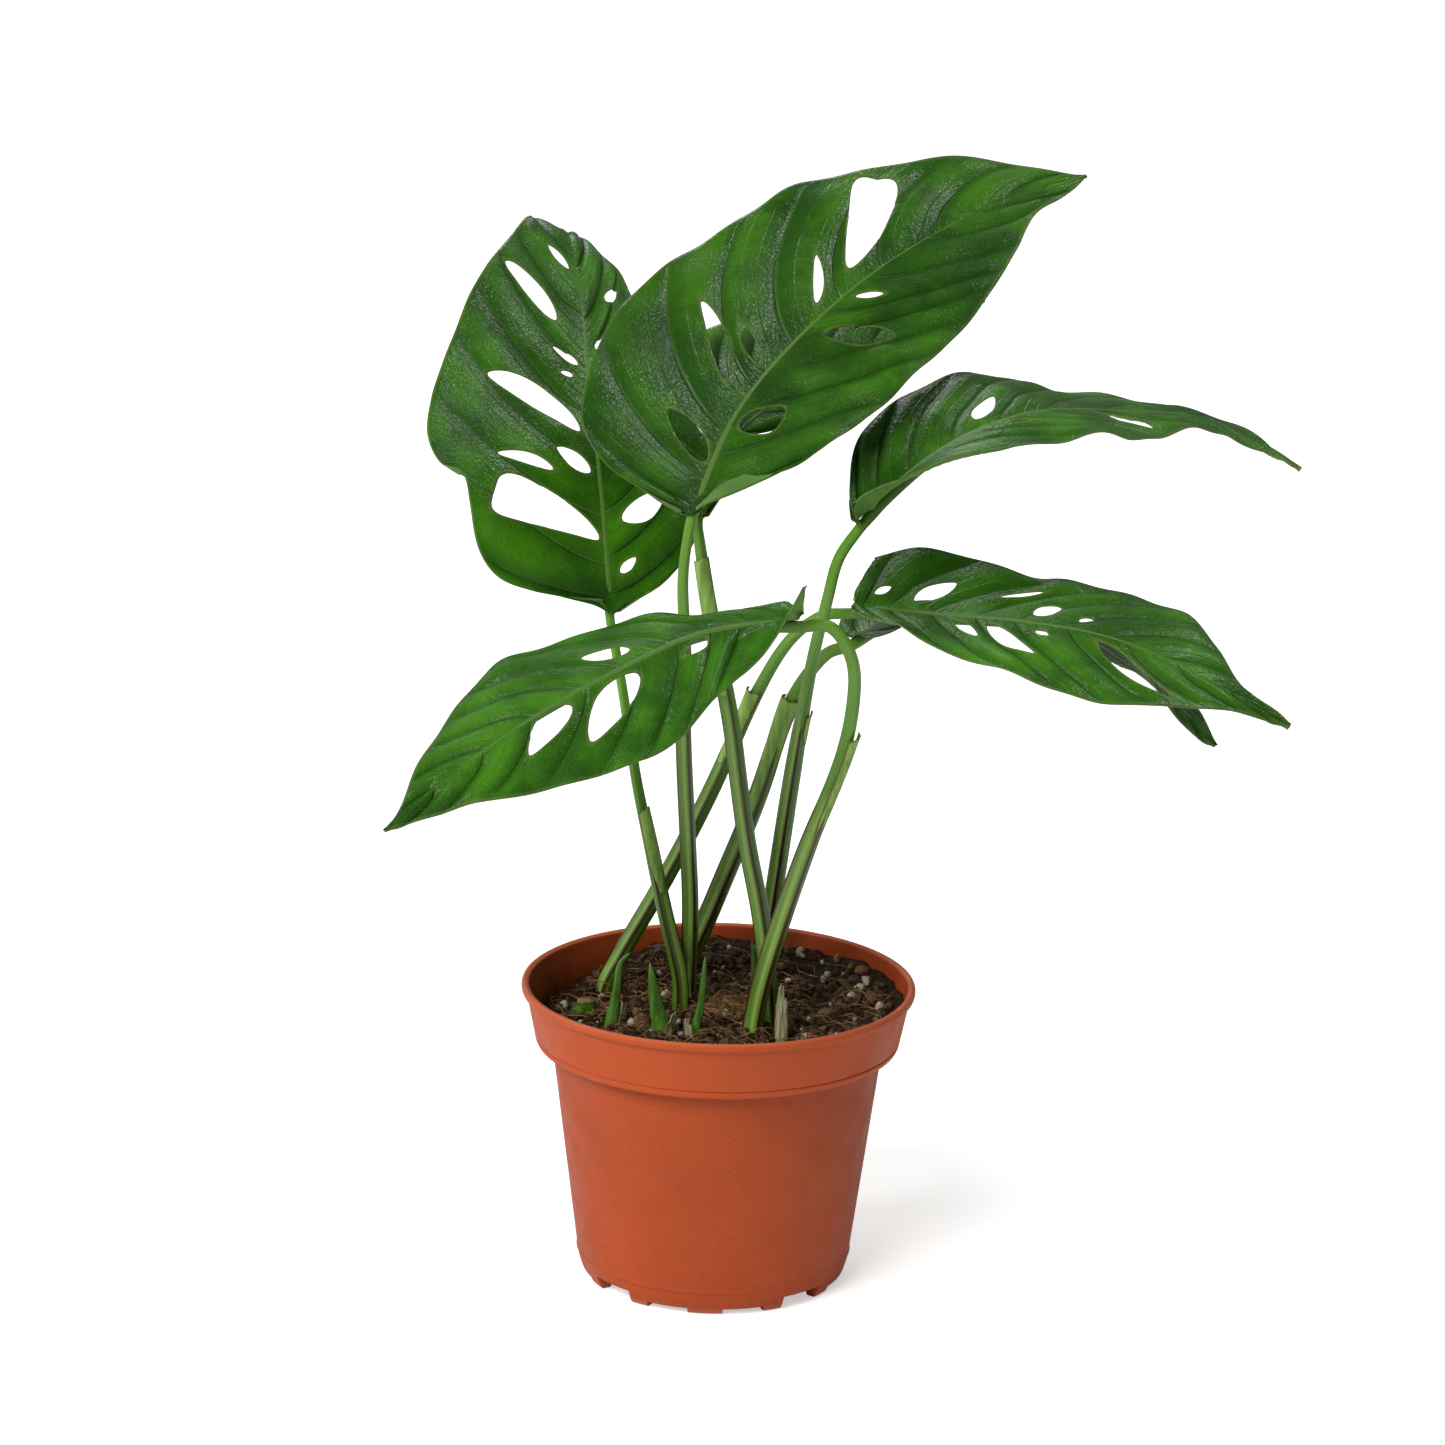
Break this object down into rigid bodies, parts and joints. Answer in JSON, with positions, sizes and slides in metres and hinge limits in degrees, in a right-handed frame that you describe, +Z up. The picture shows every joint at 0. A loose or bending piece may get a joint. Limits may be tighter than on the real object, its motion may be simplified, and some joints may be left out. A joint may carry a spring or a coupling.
{
  "type": "potted monstera",
  "caption": "Young potted monstera: pointed oval leaves with long holes on slim stalks, growing from soil in a round tapered plastic nursery pot with a deep rim band.",
  "frame": {"origin": "centre of the pot's base, on the surface that the pot stands on", "axes": "+Z up along the pot's axis; -Y faces the front of the plant, where the lower left leaf leans out; +X to the right seen from the front"},
  "size_m": [0.273, 0.2532, 0.3297],
  "materials": {
    "pot_plastic": "fine matte moulding, terracotta orange",
    "soil": "dark, crumbly, fibrous",
    "leaf": "satin, veined",
    "stalk": "smooth, satin",
    "shoot": "smooth, satin",
    "dry_sheath": "dry, papery"
  },
  "bodies": {
    "root": {"pot": "pot_plastic", "potting_soil": "soil", "leaf_upper_left": "leaf", "leaf_top_front": "leaf", "leaf_lower_left": "leaf", "leaf_upper_right": "leaf", "leaf_lower_right": "leaf", "leaf_under_right": "leaf", "leaf_top_rear": "leaf", "stalk_upper_left": "stalk", "stalk_top_front": "stalk", "stalk_lower_left": "stalk", "stalk_upper_right": "stalk", "stalk_lower_right": "stalk", "stalk_under_right": "stalk", "stalk_top_rear": "stalk", "shoot_left": "shoot", "shoot_pointed": "shoot", "shoot_thin": "shoot", "shoot_rear": "shoot", "dry_sheath": "dry_sheath", "old_stub": "shoot"}
  },
  "joints": []
}
